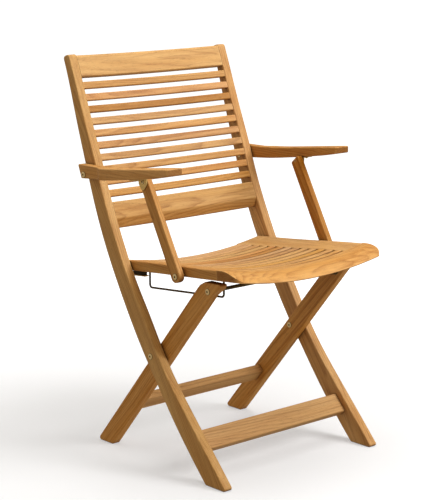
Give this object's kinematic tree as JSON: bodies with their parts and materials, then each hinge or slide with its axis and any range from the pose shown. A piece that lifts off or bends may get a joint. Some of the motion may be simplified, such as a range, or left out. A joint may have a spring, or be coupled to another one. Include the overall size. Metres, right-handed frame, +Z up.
{
  "type": "folding chair",
  "caption": "Folding wooden armchair: curved stiles, crossed rear legs, slatted back and dished slatted seat that folds up between the stiles.",
  "frame": {"origin": "centre of the bounding box in plan, on the floor under the feet", "axes": "+Z up, the sitter faces -Y, width along X, the chair's own right side is -X"},
  "size_m": [0.549, 0.5728, 0.8952],
  "materials": {
    "teak": "sanded, lightly oiled teak",
    "teak_slat": "sanded, lightly oiled teak",
    "brass": "satin brass",
    "bronze_wire": "dark bronze lacquered wire",
    "dark_steel": "black lacquered steel",
    "steel_pin": "brushed"
  },
  "bodies": {
    "back_frame": {"armrest_bolts": "brass", "armrest_washers": "brass", "back_bottom_rail": "teak", "back_slat_01": "teak_slat", "back_slat_02": "teak_slat", "back_slat_03": "teak_slat", "back_slat_04": "teak_slat", "back_slat_05": "teak_slat", "back_slat_06": "teak_slat", "back_slat_07": "teak_slat", "back_slat_08": "teak_slat", "back_slat_09": "teak_slat", "back_slat_10": "teak_slat", "back_top_rail": "teak", "crossing_bolts": "brass", "crossing_washers": "brass", "front_stretcher": "teak", "left_stile": "teak", "right_stile": "teak", "seat_pivot_pins": "steel_pin"},
    "left_arm": {"left_arm_bracket": "brass", "left_armrest": "teak", "left_bracket_screws": "brass", "left_strut_head_bolt": "brass"},
    "seat": {"left_guide_wire": "bronze_wire", "pivot_brackets": "dark_steel", "pivot_plates": "brass", "right_guide_wire": "bronze_wire", "seat_front_rail": "teak", "seat_left_rail": "teak", "seat_rear_rail": "teak", "seat_right_rail": "teak", "seat_slat_01": "teak_slat", "seat_slat_02": "teak_slat", "seat_slat_03": "teak_slat", "seat_slat_04": "teak_slat", "seat_slat_05": "teak_slat", "seat_slat_06": "teak_slat", "seat_slat_07": "teak_slat", "seat_slat_08": "teak_slat", "seat_slat_09": "teak_slat", "seat_slat_10": "teak_slat", "seat_slat_11": "teak_slat", "strut_foot_bolts": "brass", "strut_foot_spacers": "brass"},
    "rear_legs": {"left_rear_leg": "teak", "leg_top_bolts": "brass", "rear_stretcher": "teak", "right_rear_leg": "teak"},
    "left_strut": {"left_strut": "teak"},
    "slide_rod": {"leg_cross_rod": "bronze_wire"},
    "right_arm": {"right_arm_bracket": "brass", "right_armrest": "teak", "right_bracket_screws": "brass", "right_strut_head_bolt": "brass"},
    "right_strut": {"right_strut": "teak"}
  },
  "joints": [
    {"name": "seat_fold", "type": "hinge", "parent": "back_frame", "child": "seat", "pos_m": [0, 0.0839, 0.44], "axis": [-1, 0, 0], "range_deg": [0, 86.38]},
    {"name": "leg_fold", "type": "hinge", "parent": "back_frame", "child": "rear_legs", "pos_m": [0, -0.0151, 0.25], "axis": [-1, 0, 0], "range_deg": [0, 58.29]},
    {"name": "right_arm_fold", "type": "hinge", "parent": "back_frame", "child": "right_arm", "pos_m": [0, 0.1889, 0.634], "axis": [-1, 0, 0], "range_deg": [0, 86.48]},
    {"name": "left_arm_fold", "type": "hinge", "parent": "back_frame", "child": "left_arm", "pos_m": [0, 0.1889, 0.634], "axis": [-1, 0, 0], "range_deg": [0, 86.48]},
    {"name": "right_strut_fold", "type": "hinge", "parent": "seat", "child": "right_strut", "pos_m": [0, -0.1021, 0.444], "axis": [1, 0, 0], "range_deg": [0, 86.48]},
    {"name": "left_strut_fold", "type": "hinge", "parent": "seat", "child": "left_strut", "pos_m": [0, -0.1021, 0.444], "axis": [1, 0, 0], "range_deg": [0, 86.48]},
    {"name": "rod_slide", "type": "slide", "parent": "seat", "child": "slide_rod", "axis": [0, 0.9966, -0.0827], "range_m": [0, 0.2225]}
  ],
  "couplings": [
    {"joint": "leg_fold", "follows": "seat_fold", "ratio": 0.67362},
    {"joint": "right_arm_fold", "follows": "seat_fold", "ratio": 1},
    {"joint": "left_arm_fold", "follows": "seat_fold", "ratio": 1},
    {"joint": "right_strut_fold", "follows": "seat_fold", "ratio": 1},
    {"joint": "left_strut_fold", "follows": "seat_fold", "ratio": 1},
    {"joint": "rod_slide", "follows": "seat_fold", "m_per_rad": 0.14725}
  ]
}
